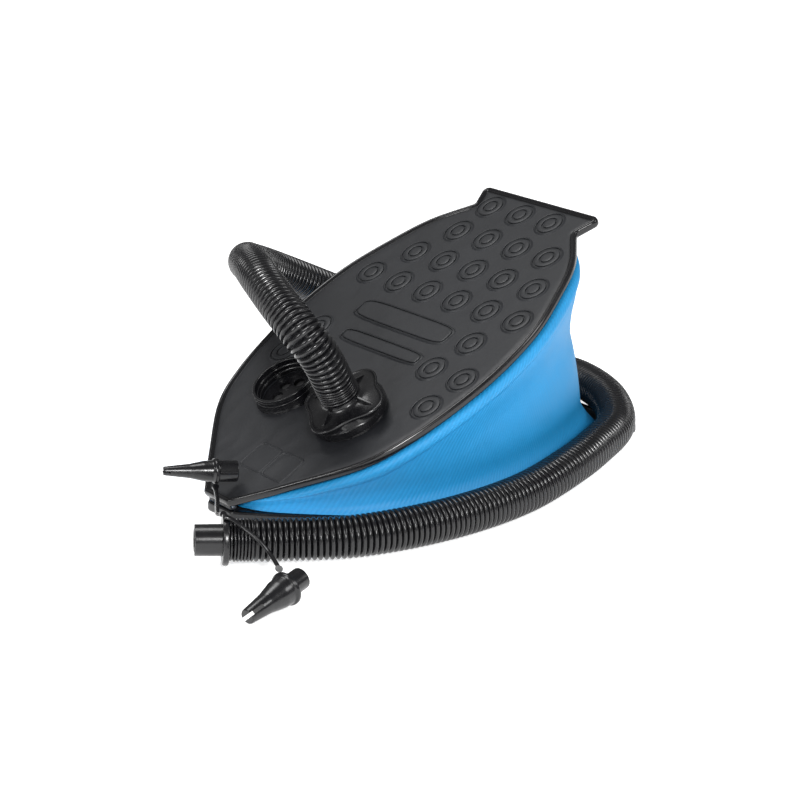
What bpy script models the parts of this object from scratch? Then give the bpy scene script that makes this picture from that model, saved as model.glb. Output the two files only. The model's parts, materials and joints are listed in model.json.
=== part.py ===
"""Foot air pump: a bellows between two leaf-shaped plates, hinged at the toe, with its hose and nozzles.

Metres, +Z up. The base plate rests on z = 0 with the toe at -X and the tail tab at +X.
Everything on the pedal is modelled flat, in the pedal's own frame (u along the plate, v across it,
h above the hinge axis), and is tilted by its parent empty on the hinge axis.
"""

import math

import bmesh
import bpy
from mathutils import Matrix, Vector

# ---- driving dimensions ----------------------------------------------------------------------------
PLATE_LENGTH = 0.280
TOE_X = -PLATE_LENGTH / 2
OPEN_ANGLE = math.radians(28)
GAP = 0.0003

# (distance from the toe, half width) of the leaf between the toe and the neck of the tail tab
LEAF_SIDE = [
    (0.0195, 0.0330), (0.056, 0.0690), (0.084, 0.0830), (0.118, 0.0907),
    (0.151, 0.0932), (0.185, 0.0897), (0.216, 0.0790), (0.241, 0.0667), (0.2635, 0.0465),
]
TOE_HALF_WIDTH = 0.0115
TAB_HALF_WIDTH = 0.0516
TAB_CORNER_RADIUS = 0.004
# the same for the footprint of the bellows, which closes across the toe and the tail
CHAMBER_SIDE = [
    (0.0085, 0.0), (0.0095, 0.0120), (0.0205, 0.0315), (0.056, 0.0668), (0.084, 0.0808),
    (0.118, 0.0885), (0.151, 0.0910), (0.185, 0.0875), (0.216, 0.0768), (0.2385, 0.0635),
    (0.254, 0.0440), (0.2605, 0.0230), (0.262, 0.0),
]

BASE_THICKNESS = 0.006
BASE_FLOOR = 0.003
HINGE_X = TOE_X + 0.003
HINGE_Z = 0.0085
PEDAL_TOE_U = 0.0005
PEDAL_UNDER = 0.0016
PEDAL_TOP = 0.0066
TREAD_RECESS = 0.0010
TREAD_RIM = 0.0032

KNUCKLE_RADIUS = 0.0026
KNUCKLE_RELIEF = 0.0031
PIN_RADIUS = 0.0012
PIN_HOLE_RADIUS = 0.0015
PEDAL_KNUCKLE_HALF = 0.0050
BASE_KNUCKLE_INNER = 0.0054
BASE_KNUCKLE_OUTER = 0.0106

BELLOWS_WALL = 0.0016
BELLOWS_WAIST = 0.118
BAND_START = 0.0030
BAND_END = 0.0062
BAND_THICKNESS = 0.0015
POCKET_INSET = 0.0070

SPRING_U = 0.150
SPRING_RADIUS = 0.032
SPRING_WIRE = 0.0017
SPRING_TURNS = 5
SEAT_FLANGE_RADIUS = 0.038
SEAT_FLANGE = 0.0020
SEAT_SPIGOT_OUTER = 0.0288
SEAT_SPIGOT_INNER = 0.0240
SEAT_HEIGHT = 0.0077

PORT_U = 0.0823
PORT_V = 0.0304
PORT_HOLE_RADIUS = 0.0173
NECK_OUTER = 0.0203
NECK_INNER = 0.0179
NECK_TOP = 0.0146
VALVE_SEAT_RADIUS = 0.0169
VALVE_SEAT_BOTTOM = 0.0030
VALVE_SEAT_THICKNESS = 0.0020
VALVE_HOLE_RADIUS = 0.0036
VALVE_HOLE_CIRCLE = 0.0080
VALVE_HOLES = 5
FLAP_RADIUS = 0.0138
FLAP_THICKNESS = 0.0008

LOBE_RADIUS = 0.0238
LOBE_SWELL = 0.0030
LOBE_TURN = math.radians(14)
LOBE_BOTTOM = 0.0160
LOBE_TOP = 0.0178
SKIRT_INNER = 0.0207
SKIRT_OUTER = 0.0234
SKIRT_BOTTOM = 0.0078
STUB_OUTER = 0.0115
STUB_BORE = 0.0085
STUB_TOP = 0.0222
GUSSET_HALF_WIDTH = 0.0008
GUSSET_FOOT = 0.0090
GUSSET_REACH = 0.0212
GUSSET_HEIGHT = 0.0040
GASKET_INNER = 0.0182
GASKET_OUTER = 0.0200

HOSE_RADIUS = 0.0119
HOSE_STEP = 0.020
HOSE_LEAD = 0.005
# the hose's centre line: (distance from the toe, across, height), from the connector to the free end
HOSE_ROUTE = [
    (0.0517, -0.0318, 0.0915), (0.044, -0.025, 0.106), (0.0445, -0.003, 0.118), (0.052, 0.026, 0.126),
    (0.067, 0.057, 0.125), (0.087, 0.088, 0.116), (0.117, 0.109, 0.102), (0.160, 0.113, 0.080),
    (0.201, 0.112, 0.058), (0.238, 0.104, 0.036), (0.271, 0.084, 0.0185), (0.2900, 0.0505, 0.0145),
    (0.2870, 0.0105, 0.0180), (0.2705, -0.034, 0.0194), (0.2415, -0.0715, 0.0194), (0.207, -0.0905, 0.0182),
    (0.175, -0.1020, 0.0162), (0.139, -0.1090, 0.0128), (0.100, -0.1120, 0.0121), (0.060, -0.1085, 0.0120),
    (0.022, -0.0975, 0.0121), (-0.0102, -0.0783, 0.0127), (-0.0345, -0.0641, 0.0145),
]
HOSE_SPLIT = 0.43

HOSE_END_SHOULDER = (0.0115, 0.0015)
HOSE_END_RADIUS = 0.0087
HOSE_END_BORE = 0.0067
HOSE_END_LENGTH = 0.0203
TETHER_RING_OUTER = 0.0140
TETHER_RING_INNER = 0.0090
TETHER_RING_WIDTH = 0.0035
STRAP_RADIUS = 0.0009

NOZZLE_SOCKET_RADIUS = 0.0061
NOZZLE_SOCKET_BORE = 0.0048
NOZZLE_SOCKET_DEPTH = 0.0100
NOZZLE_FLANGE_THICKNESS = 0.0022
NOZZLE_SHOULDER = 0.0060
NOZZLE_TIP_LENGTH = 0.0150
FORK_SLOT_DEPTH = 0.0080
# the middle of each nozzle's socket mouth, the point its tip aims at, and the radii of its flange and tip
TAPERED_NOZZLE = (Vector((TOE_X + 0.0079, -0.0080, 0.0279)), Vector((TOE_X - 0.0312, 0.0080, 0.0329)),
                  0.0074, 0.0025)
FORKED_NOZZLE = (Vector((TOE_X - 0.0328, -0.1252, 0.0117)), Vector((TOE_X - 0.0748, -0.1355, 0.0050)),
                 0.0095, 0.0042)
STRAP_ROUTES = {
    "tether_strap_upper": [
        (-0.0322, -0.0530, 0.0255), (-0.0313, -0.0460, 0.0233), (-0.0236, -0.0340, 0.0212),
        (-0.0154, -0.0220, 0.0203), (-0.0098, -0.0130, 0.0203), (-0.0060, -0.0064, 0.0213),
    ],
    "tether_strap_lower": [
        (-0.0396, -0.0657, 0.0297), (-0.0370, -0.0690, 0.0284), (-0.0345, -0.0740, 0.0254),
        (-0.0318, -0.0840, 0.0206), (-0.0316, -0.0940, 0.0164), (-0.0350, -0.1050, 0.0149),
        (-0.0397, -0.1150, 0.0155), (-0.0462, -0.1244, 0.0203),
    ],
}

ROUND_STEPS = 32
SMALL_STEPS = 20

COLLECTION = "foot_air_pump"


# ---- outlines --------------------------------------------------------------------------------------
def smooth_path(points, steps):
    """A Catmull-Rom curve through the points, with `steps` pieces between each two."""
    points = [Vector(point) for point in points]
    ends = [points[0] * 2 - points[1]] + points + [points[-1] * 2 - points[-2]]
    path = []
    for index in range(1, len(ends) - 2):
        before, start, end, after = ends[index - 1:index + 3]
        for step in range(steps):
            t = step / steps
            path.append(
                start
                + (end - before) * (t / 2)
                + (before * 2 - start * 5 + end * 4 - after) * (t * t / 2)
                + (start * 3 - before - end * 3 + after) * (t ** 3 / 2)
            )
    path.append(points[-1])
    return path


def even_path(points, spacing):
    """The same path with its points equally far apart."""
    reach = [0.0]
    for start, end in zip(points, points[1:]):
        reach.append(reach[-1] + (end - start).length)
    count = round(reach[-1] / spacing)
    path = []
    index = 0
    for step in range(count + 1):
        wanted = reach[-1] * step / count
        while index < len(points) - 2 and reach[index + 1] < wanted:
            index += 1
        share = (wanted - reach[index]) / (reach[index + 1] - reach[index])
        path.append(points[index].lerp(points[index + 1], share))
    return path


def both_sides(half):
    """A closed outline from its +Y half, which runs from the toe to the tail."""
    other = [Vector((point.x, -point.y)) for point in reversed(half) if point.y > 1e-6]
    return half + other


def leaf_outline():
    """The plate's outline, from the toe's straight end round to the tail tab and back."""
    half = [Vector((0, TOE_HALF_WIDTH))]
    half += smooth_path([Vector(point) for point in LEAF_SIDE], 3)
    corner = Vector((PLATE_LENGTH - TAB_CORNER_RADIUS, TAB_HALF_WIDTH - TAB_CORNER_RADIUS))
    for step in range(5):
        turn = math.radians(110 - 27.5 * step)
        half.append(corner + TAB_CORNER_RADIUS * Vector((math.cos(turn), math.sin(turn))))
    return both_sides(half)


def chamber_outline():
    """The footprint of the bellows."""
    return both_sides(smooth_path([Vector(point) for point in CHAMBER_SIDE], 2))


def inset(outline, distance):
    """The closed outline moved inwards by `distance`, corner by corner."""
    moved = []
    count = len(outline)
    middle = Vector((PLATE_LENGTH / 2, 0))
    for index, point in enumerate(outline):
        before = (point - outline[index - 1]).normalized()
        after = (outline[(index + 1) % count] - point).normalized()
        bisector = Vector((before.y + after.y, -before.x - after.x)).normalized()
        if bisector.dot(middle - point) < 0 and abs(point.x - middle.x) < PLATE_LENGTH / 4:
            bisector = -bisector
        corner = max(bisector.dot(Vector((before.y, -before.x))), 0.5)
        moved.append(point + bisector * (distance / corner))
    return moved


# ---- making objects --------------------------------------------------------------------------------
def plastic(name, colour, roughness, metallic=0.0):
    """A Principled material for one kind of piece."""
    material = bpy.data.materials.new(name)
    material.use_nodes = True
    shader = material.node_tree.nodes["Principled BSDF"]
    shader.inputs["Base Color"].default_value = (*colour, 1)
    shader.inputs["Roughness"].default_value = roughness
    shader.inputs["Metallic"].default_value = metallic
    return material


def add_object(name, data, parent, collection, material=None):
    """An object in its collection, under its parent."""
    made = bpy.data.objects.new(name, data)
    collection.objects.link(made)
    made.parent = parent
    if material:
        data.materials.append(material)
    return made


def flat_mesh(name, outline, bottom, top):
    """A closed prism over an outline, made from a filled 2D curve."""
    curve = bpy.data.curves.new(name, "CURVE")
    curve.dimensions = "2D"
    curve.fill_mode = "BOTH"
    curve.extrude = (top - bottom) / 2
    spline = curve.splines.new("POLY")
    spline.points.add(len(outline) - 1)
    for point, place in zip(spline.points, outline):
        point.co = (place.x, place.y, 0, 1)
    spline.use_cyclic_u = True
    holder = bpy.data.objects.new(name, curve)
    bpy.context.scene.collection.objects.link(holder)
    mesh = bpy.data.meshes.new_from_object(holder.evaluated_get(bpy.context.evaluated_depsgraph_get()))
    bpy.data.objects.remove(holder)
    bpy.data.curves.remove(curve)
    mesh.transform(Matrix.Translation((0, 0, (top + bottom) / 2)))
    shape = bmesh.new()
    shape.from_mesh(mesh)
    bmesh.ops.remove_doubles(shape, verts=shape.verts, dist=0.00001)
    bmesh.ops.recalc_face_normals(shape, faces=shape.faces)
    shape.to_mesh(mesh)
    shape.free()
    return mesh


def box_mesh(name, low, high):
    """A box between two corners."""
    mesh = bpy.data.meshes.new(name)
    shape = bmesh.new()
    bmesh.ops.create_cube(shape, size=1)
    low = Vector(low)
    high = Vector(high)
    for vertex in shape.verts:
        vertex.co = (low + high) / 2 + Vector(a * b for a, b in zip(vertex.co, high - low))
    shape.to_mesh(mesh)
    shape.free()
    return mesh


def rod_mesh(name, radius, start, end, steps=SMALL_STEPS):
    """A cylinder between two points."""
    mesh = bpy.data.meshes.new(name)
    shape = bmesh.new()
    start = Vector(start)
    end = Vector(end)
    along = end - start
    place = Matrix.Translation((start + end) / 2) @ along.to_track_quat("Z", "Y").to_matrix().to_4x4()
    bmesh.ops.create_cone(
        shape, cap_ends=True, segments=steps, radius1=radius, radius2=radius, depth=along.length, matrix=place
    )
    shape.to_mesh(mesh)
    shape.free()
    return mesh


def turned_mesh(name, profile, closed):
    """The edges of a profile in the XZ plane, for a Screw modifier."""
    mesh = bpy.data.meshes.new(name)
    edges = [(index, index + 1) for index in range(len(profile) - 1)]
    if closed:
        edges.append((len(profile) - 1, 0))
    mesh.from_pydata([(radius, 0, height) for radius, height in profile], edges, [])
    return mesh


def turn(made, steps=ROUND_STEPS):
    """Turn an object's profile about its Z axis."""
    screw = made.modifiers.new("turned", "SCREW")
    screw.steps = steps
    screw.render_steps = steps
    screw.use_merge_vertices = True
    screw.merge_threshold = 0.00002
    screw.use_smooth_shade = True


def shade(made):
    """Smooth faces with sharp edges where they turn by more than 35 degrees."""
    made.data.shade_smooth()
    made.data.set_sharp_from_angle(angle=math.radians(35))


def shape_with(made, other, operation):
    """Cut or join one object with another, which is kept out of sight with the cutters."""
    other.hide_render = True
    other.display_type = "WIRE"
    boolean = made.modifiers.new(other.name, "BOOLEAN")
    boolean.operation = operation
    boolean.object = other
    boolean.solver = "EXACT"


def tube(name, points, radius, resolution, parent, collection, material):
    """A plain tube along a path, with filled ends."""
    curve = bpy.data.curves.new(name, "CURVE")
    curve.dimensions = "3D"
    curve.bevel_depth = radius
    curve.bevel_resolution = resolution
    curve.use_fill_caps = True
    spline = curve.splines.new("POLY")
    spline.points.add(len(points) - 1)
    for point, place in zip(spline.points, points):
        point.co = (*place, 1)
    return add_object(name, curve, parent, collection, material)


def aim(made, start, towards):
    """Put an object's origin at `start` with its Z axis pointing at `towards`."""
    made.location = start
    made.rotation_euler = (towards - start).to_track_quat("Z", "Y").to_euler()


# ---- the base --------------------------------------------------------------------------------------
def in_base(outline):
    """An outline measured from the toe, in the base's place."""
    return [Vector((point.x + TOE_X, point.y)) for point in outline]


def make_base(parts, cutters, black):
    """The floor plate: a leaf with a raised rim, a shallow pocket and two hinge knuckles."""
    base = add_object("base_plate", flat_mesh("base_plate", in_base(leaf_outline()), 0, BASE_THICKNESS),
                      None, parts, black)
    pocket_outline = in_base(inset(chamber_outline(), POCKET_INSET))
    pocket = flat_mesh("base_pocket", pocket_outline, BASE_FLOOR, BASE_THICKNESS + 0.002)
    shape_with(base, add_object("base_pocket", pocket, None, cutters), "DIFFERENCE")
    relief = rod_mesh("base_relief", KNUCKLE_RELIEF,
                      (HINGE_X, -BASE_KNUCKLE_INNER, HINGE_Z), (HINGE_X, BASE_KNUCKLE_INNER, HINGE_Z))
    shape_with(base, add_object("base_relief", relief, None, cutters), "DIFFERENCE")
    for side in (-1, 1):
        inner = side * BASE_KNUCKLE_INNER
        outer = side * BASE_KNUCKLE_OUTER
        block = box_mesh("base_block", (HINGE_X - KNUCKLE_RADIUS, min(inner, outer), BASE_THICKNESS - 0.002),
                         (HINGE_X + KNUCKLE_RADIUS, max(inner, outer), HINGE_Z))
        shape_with(base, add_object("base_block", block, None, cutters), "UNION")
        barrel = rod_mesh("base_barrel", KNUCKLE_RADIUS, (HINGE_X, inner, HINGE_Z), (HINGE_X, outer, HINGE_Z))
        shape_with(base, add_object("base_barrel", barrel, None, cutters), "UNION")
    pin_hole = rod_mesh("base_pin_hole", PIN_HOLE_RADIUS, (HINGE_X, -0.02, HINGE_Z), (HINGE_X, 0.02, HINGE_Z), 12)
    shape_with(base, add_object("base_pin_hole", pin_hole, None, cutters), "DIFFERENCE")


def make_hinge_pin(parts, steel):
    """The pin through the knuckles."""
    pin = add_object("hinge_pin", rod_mesh("hinge_pin", PIN_RADIUS, (0, -0.0104, 0), (0, 0.0104, 0), 12),
                     None, parts, steel)
    pin.location = (HINGE_X, 0, HINGE_Z)
    shade(pin)


def ring_mesh(name, rows):
    """A closed wall through rows of equally many points: each row joins the next, and the last the first."""
    mesh = bpy.data.meshes.new(name)
    shape = bmesh.new()
    loops = [[shape.verts.new(point) for point in row] for row in rows]
    for row, loop in enumerate(loops):
        above = loops[(row + 1) % len(loops)]
        for index in range(len(loop)):
            after = (index + 1) % len(loop)
            shape.faces.new((loop[index], loop[after], above[after], above[index]))
    bmesh.ops.recalc_face_normals(shape, faces=shape.faces)
    shape.to_mesh(mesh)
    shape.free()
    return mesh


def waist(share):
    """How far the bellows is drawn in at a share of its height, as a part of its deepest waist."""
    flare = min(max((share - 0.015) / 0.20, 0.0), 1.0)
    crown = min(max((1.0 - share) / 0.42, 0.0), 1.0)
    return math.sin(flare * math.pi / 2) * (crown * crown * (3 - 2 * crown))


def make_bellows(parts, fabric):
    """The fabric wall of the wedge-shaped chamber, drawn in at its waist, from the base to the pedal."""
    footprint = chamber_outline()
    shares = [0.0, 0.015, 0.06, 0.13, 0.24, 0.42, 0.62, 0.80, 0.92, 1.0]
    low = BASE_THICKNESS + GAP - HINGE_Z
    high = PEDAL_UNDER - GAP

    def row(share, wall):
        points = []
        edge = inset(footprint, wall)
        deep = inset(footprint, wall + 0.010)
        for outer, inner in zip(edge, deep):
            u = outer.x + TOE_X - HINGE_X
            draw = waist(share) * BELLOWS_WAIST * u * math.sin(OPEN_ANGLE) / 0.010
            place = outer.lerp(inner, draw)
            angle = OPEN_ANGLE * share
            height = low + (high - low) * share
            along = place.x + TOE_X - HINGE_X
            points.append((
                HINGE_X + along * math.cos(angle) - height * math.sin(angle),
                place.y,
                HINGE_Z + along * math.sin(angle) + height * math.cos(angle),
            ))
        return points

    rows = [row(share, 0.0) for share in shares]
    rows += [row(share, BELLOWS_WALL) for share in reversed(shares)]
    bellows = add_object("bellows", ring_mesh("bellows", rows), None, parts, fabric)
    shade(bellows)


def band_mesh(name, bottom, top, shift):
    """The flat ring that holds the bellows' edge against a plate."""
    outer = inset(chamber_outline(), BAND_START)
    inner = inset(chamber_outline(), BAND_END)
    rows = []
    for outline, height in ((outer, bottom), (outer, top), (inner, top), (inner, bottom)):
        rows.append([(point.x + shift, point.y, height) for point in outline])
    return ring_mesh(name, rows)


def make_seam_bands(parts, pedal, black):
    """The clamp rings at the foot and the head of the bellows."""
    bottom = BASE_THICKNESS + GAP
    lower = band_mesh("seam_band_lower", bottom, bottom + BAND_THICKNESS, TOE_X)
    add_object("seam_band_lower", lower, None, parts, black)
    top = PEDAL_UNDER - GAP
    upper = band_mesh("seam_band_upper", top - BAND_THICKNESS, top, TOE_X - HINGE_X)
    add_object("seam_band_upper", upper, pedal, parts, black)


# ---- the return spring -----------------------------------------------------------------------------
def make_spring_seats(parts, pedal, black):
    """The cups that hold the spring's ends, on the base's floor and under the pedal."""
    profile = [
        (SEAT_SPIGOT_INNER, 0), (SEAT_SPIGOT_INNER, SEAT_HEIGHT), (SEAT_SPIGOT_OUTER, SEAT_HEIGHT),
        (SEAT_SPIGOT_OUTER, SEAT_FLANGE), (SEAT_FLANGE_RADIUS, SEAT_FLANGE), (SEAT_FLANGE_RADIUS, 0),
    ]
    lower = add_object("spring_seat_lower", turned_mesh("spring_seat_lower", profile, True), None, parts, black)
    lower.location = (HINGE_X + SPRING_U, 0, BASE_FLOOR + GAP)
    turn(lower)
    upper = add_object("spring_seat_upper", turned_mesh("spring_seat_upper", profile, True), pedal, parts, black)
    upper.location = (SPRING_U, 0, PEDAL_UNDER - GAP)
    upper.rotation_euler = (math.pi, 0, 0)
    turn(upper)


def make_return_spring(parts, steel):
    """A coil spring bent along the pedal's arc, with a flat turn at each end."""
    low = BASE_FLOOR + 2 * GAP + SEAT_FLANGE + SPRING_WIRE - HINGE_Z + 0.0001
    high = PEDAL_UNDER - 2 * GAP - SEAT_FLANGE - SPRING_WIRE - 0.0001
    per_turn = 14
    dead = 0.8 / SPRING_TURNS
    points = []
    for step in range(SPRING_TURNS * per_turn + 1):
        share = step / (SPRING_TURNS * per_turn)
        rise = min(max((share - dead) / (1 - 2 * dead), 0.0), 1.0)
        angle = OPEN_ANGLE * rise
        height = low + (high - low) * rise
        turned = 2 * math.pi * SPRING_TURNS * share
        radial = SPRING_U + SPRING_RADIUS * math.cos(turned)
        points.append((
            HINGE_X + radial * math.cos(angle) - height * math.sin(angle),
            SPRING_RADIUS * math.sin(turned),
            HINGE_Z + radial * math.sin(angle) + height * math.cos(angle),
        ))
    tube("return_spring", points, SPRING_WIRE, 2, None, parts, steel)


# ---- the pedal -------------------------------------------------------------------------------------
def make_top_plate(parts, cutters, pedal, black):
    """The tread plate: the same leaf, recessed inside its rim, with two port holes and a knuckle."""
    outline = []
    for point in leaf_outline():
        outline.append(Vector((max(point.x + TOE_X - HINGE_X, PEDAL_TOE_U), point.y)))
    plate = add_object("top_plate", flat_mesh("top_plate", outline, PEDAL_UNDER, PEDAL_TOP), pedal, parts, black)
    tread = flat_mesh("tread_recess", inset(outline, TREAD_RIM), PEDAL_TOP - TREAD_RECESS, PEDAL_TOP + 0.002)
    shape_with(plate, add_object("tread_recess", tread, pedal, cutters), "DIFFERENCE")
    relief = rod_mesh("pedal_relief", KNUCKLE_RELIEF, (0, -0.0110, 0), (0, 0.0110, 0))
    shape_with(plate, add_object("pedal_relief", relief, pedal, cutters), "DIFFERENCE")
    block = box_mesh("pedal_block", (-0.0012, -PEDAL_KNUCKLE_HALF, 0), (0.0024, PEDAL_KNUCKLE_HALF, 0.0036))
    shape_with(plate, add_object("pedal_block", block, pedal, cutters), "UNION")
    barrel = rod_mesh("pedal_barrel", KNUCKLE_RADIUS, (0, -PEDAL_KNUCKLE_HALF, 0), (0, PEDAL_KNUCKLE_HALF, 0))
    shape_with(plate, add_object("pedal_barrel", barrel, pedal, cutters), "UNION")
    pin_hole = rod_mesh("pedal_pin_hole", PIN_HOLE_RADIUS, (0, -0.02, 0), (0, 0.02, 0), 12)
    shape_with(plate, add_object("pedal_pin_hole", pin_hole, pedal, cutters), "DIFFERENCE")
    for side in (-1, 1):
        hole = rod_mesh("port_hole", PORT_HOLE_RADIUS, (PORT_U, side * PORT_V, -0.005),
                        (PORT_U, side * PORT_V, 0.015), ROUND_STEPS)
        shape_with(plate, add_object("port_hole", hole, pedal, cutters), "DIFFERENCE")


def make_neck(name, top, parts, port, black):
    """The round collar that stands on a port."""
    bottom = PEDAL_TOP - TREAD_RECESS + GAP
    profile = [(NECK_INNER, bottom), (NECK_INNER, top), (NECK_OUTER, top), (NECK_OUTER, bottom)]
    neck = add_object(name, turned_mesh(name, profile, True), port, parts, black)
    turn(neck)


def make_valve_seat(name, parts, cutters, port, black):
    """A disc with a ring of air holes, held in the port's hole."""
    top = VALVE_SEAT_BOTTOM + VALVE_SEAT_THICKNESS
    seat = add_object(name, rod_mesh(name, VALVE_SEAT_RADIUS, (0, 0, VALVE_SEAT_BOTTOM), (0, 0, top), ROUND_STEPS),
                      port, parts, black)
    for index in range(VALVE_HOLES):
        turned = 2 * math.pi * index / VALVE_HOLES
        across = Vector((math.cos(turned), math.sin(turned), 0)) * VALVE_HOLE_CIRCLE
        hole = rod_mesh(name + "_hole", VALVE_HOLE_RADIUS, across - Vector((0, 0, 0.01)),
                        across + Vector((0, 0, 0.02)), 12)
        shape_with(seat, add_object(name + "_hole", hole, port, cutters), "DIFFERENCE")


def make_flap(name, height, parts, port, rubber):
    """A valve flap, with its origin on the living hinge at its toe side."""
    half = FLAP_THICKNESS / 2
    flap = add_object(name, rod_mesh(name, FLAP_RADIUS, (FLAP_RADIUS, 0, -half), (FLAP_RADIUS, 0, half), 28),
                      port, parts, rubber)
    flap.location = (-FLAP_RADIUS, 0, height)


def lobed_outline():
    """The connector's grip flange: a circle with four soft lobes."""
    outline = []
    steps = 48
    for step in range(steps):
        turned = 2 * math.pi * step / steps
        radius = LOBE_RADIUS + LOBE_SWELL * math.cos(4 * (turned - LOBE_TURN))
        outline.append(Vector((radius * math.cos(turned), radius * math.sin(turned))))
    return outline


def make_connector(parts, cutters, port, black):
    """The hose connector: a lobed flange with a skirt over the neck, a stub for the hose and four gussets."""
    connector = add_object("hose_connector", flat_mesh("hose_connector", lobed_outline(), LOBE_BOTTOM, LOBE_TOP),
                           port, parts, black)
    skirt_profile = [
        (SKIRT_INNER, SKIRT_BOTTOM), (SKIRT_INNER, LOBE_BOTTOM + 0.001),
        (SKIRT_OUTER, LOBE_BOTTOM + 0.001), (SKIRT_OUTER, SKIRT_BOTTOM),
    ]
    skirt = add_object("connector_skirt", turned_mesh("connector_skirt", skirt_profile, True), port, cutters)
    turn(skirt)
    shape_with(connector, skirt, "UNION")
    stub = rod_mesh("connector_stub", STUB_OUTER, (0, 0, LOBE_BOTTOM + 0.0005), (0, 0, STUB_TOP), 24)
    shape_with(connector, add_object("connector_stub", stub, port, cutters), "UNION")
    for index in range(4):
        rib_outline = [
            Vector((GUSSET_FOOT, 0)), Vector((GUSSET_REACH, 0)), Vector((STUB_OUTER + GAP, GUSSET_HEIGHT)),
            Vector((GUSSET_FOOT, GUSSET_HEIGHT)),
        ]
        rib = flat_mesh("connector_gusset", rib_outline, -GUSSET_HALF_WIDTH, GUSSET_HALF_WIDTH)
        rib.transform(Matrix.Rotation(math.pi / 2, 4, "X"))
        rib.transform(Matrix.Translation((0, 0, LOBE_TOP - 0.0005)))
        rib.transform(Matrix.Rotation(LOBE_TURN + math.pi / 2 * index, 4, "Z"))
        shape_with(connector, add_object("connector_gusset", rib, port, cutters), "UNION")
    bore = rod_mesh("connector_bore", STUB_BORE, (0, 0, 0.01), (0, 0, 0.04), SMALL_STEPS)
    shape_with(connector, add_object("connector_bore", bore, port, cutters), "DIFFERENCE")


def make_gasket(parts, port, rubber):
    """The flat sealing ring between the outlet neck and the connector."""
    bottom = NECK_TOP + GAP
    top = LOBE_BOTTOM - GAP
    profile = [(GASKET_INNER, bottom), (GASKET_INNER, top), (GASKET_OUTER, top), (GASKET_OUTER, bottom)]
    gasket = add_object("connector_gasket", turned_mesh("connector_gasket", profile, True), port, parts, rubber)
    turn(gasket)


# ---- the hose and what hangs on it -----------------------------------------------------------------
def hose_points():
    """Evenly spaced points of the hose's centre line, from the connector's stub to the free end."""
    tilt = Matrix.Rotation(-OPEN_ANGLE, 3, "Y")
    along_stub = tilt @ Vector((0, 0, 1))
    start = Vector((HINGE_X, 0, HINGE_Z)) + tilt @ Vector((PORT_U, -PORT_V, STUB_TOP + GAP))
    route = [start, start + along_stub * HOSE_LEAD]
    route += [Vector((x + TOE_X, y, z)) for x, y, z in HOSE_ROUTE]
    bend = smooth_path(route, 10)[10:]
    return [start] + even_path(bend, HOSE_STEP)


def make_hose(parts, black):
    """The hose as two plain tubes: the part that follows the pedal, and the part that lies still."""
    points = hose_points()
    split = round(HOSE_SPLIT * (len(points) - 1))
    along = (points[split + 1] - points[split - 1]).normalized()
    meeting = [points[split] + along * reach for reach in (-HOSE_LEAD, -GAP / 2, GAP / 2, HOSE_LEAD)]
    tube("hose_upper", points[:split] + meeting[:2], HOSE_RADIUS, 3, None, parts, black)
    tube("hose_lower", meeting[2:] + points[split + 1:], HOSE_RADIUS, 3, None, parts, black)
    return points[-1], (points[-1] - points[-2]).normalized()


def make_hose_end(parts, end, along, black):
    """The smooth end tube with its shoulder, and the ring of the tether that sits against it."""
    shoulder_radius, shoulder = HOSE_END_SHOULDER
    profile = [
        (HOSE_END_BORE, 0), (HOSE_END_BORE, HOSE_END_LENGTH), (HOSE_END_RADIUS, HOSE_END_LENGTH),
        (HOSE_END_RADIUS, shoulder), (shoulder_radius, shoulder), (shoulder_radius, 0),
    ]
    tip = add_object("hose_end", turned_mesh("hose_end", profile, True), None, parts, black)
    start = end + along * GAP
    aim(tip, start, start + along)
    turn(tip, SMALL_STEPS)
    ring_bottom = shoulder + GAP
    ring_top = ring_bottom + TETHER_RING_WIDTH
    ring_profile = [
        (TETHER_RING_INNER, ring_bottom), (TETHER_RING_INNER, ring_top),
        (TETHER_RING_OUTER, ring_top), (TETHER_RING_OUTER, ring_bottom),
    ]
    ring = add_object("tether_ring", turned_mesh("tether_ring", ring_profile, True), None, parts, black)
    aim(ring, start, start + along)
    turn(ring, SMALL_STEPS)


def nozzle_profile(length, flange, tip):
    """A nozzle's outline from its tip down the outside to its socket's mouth, and back up the socket."""
    flange_low = NOZZLE_SOCKET_DEPTH + 0.0012
    flange_high = flange_low + NOZZLE_FLANGE_THICKNESS
    body = flange - 0.0012
    return [
        (0, length), (tip, length), (tip + 0.0016, length - NOZZLE_TIP_LENGTH),
        (body - 0.0003, flange_high + NOZZLE_SHOULDER), (body, flange_high), (flange, flange_high),
        (flange, flange_low), (NOZZLE_SOCKET_RADIUS, flange_low), (NOZZLE_SOCKET_RADIUS, 0),
        (NOZZLE_SOCKET_BORE, 0), (NOZZLE_SOCKET_BORE, NOZZLE_SOCKET_DEPTH), (0, NOZZLE_SOCKET_DEPTH),
    ]


def make_nozzle(name, sizes, parts, cutters, black):
    """A push-in nozzle on its tether, with a slot through its tip."""
    mouth, aimed_at, flange, tip = sizes
    length = (aimed_at - mouth).length
    nozzle = add_object(name, turned_mesh(name, nozzle_profile(length, flange, tip), False), None, parts, black)
    aim(nozzle, mouth, aimed_at)
    turn(nozzle, 24)
    slot = box_mesh(name + "_slot", (-0.010, -tip * 0.30, length - FORK_SLOT_DEPTH),
                    (0.010, tip * 0.30, length + 0.002))
    cutter = add_object(name + "_slot", slot, None, cutters)
    aim(cutter, mouth, aimed_at)
    shape_with(nozzle, cutter, "DIFFERENCE")


def make_straps(parts, black):
    """The two thin straps that tie the nozzles to the hose's end."""
    for name, route in STRAP_ROUTES.items():
        places = [Vector((x + TOE_X, y, z)) for x, y, z in route]
        tube(name, smooth_path(places, 3), STRAP_RADIUS, 2, None, parts, black)


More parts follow.
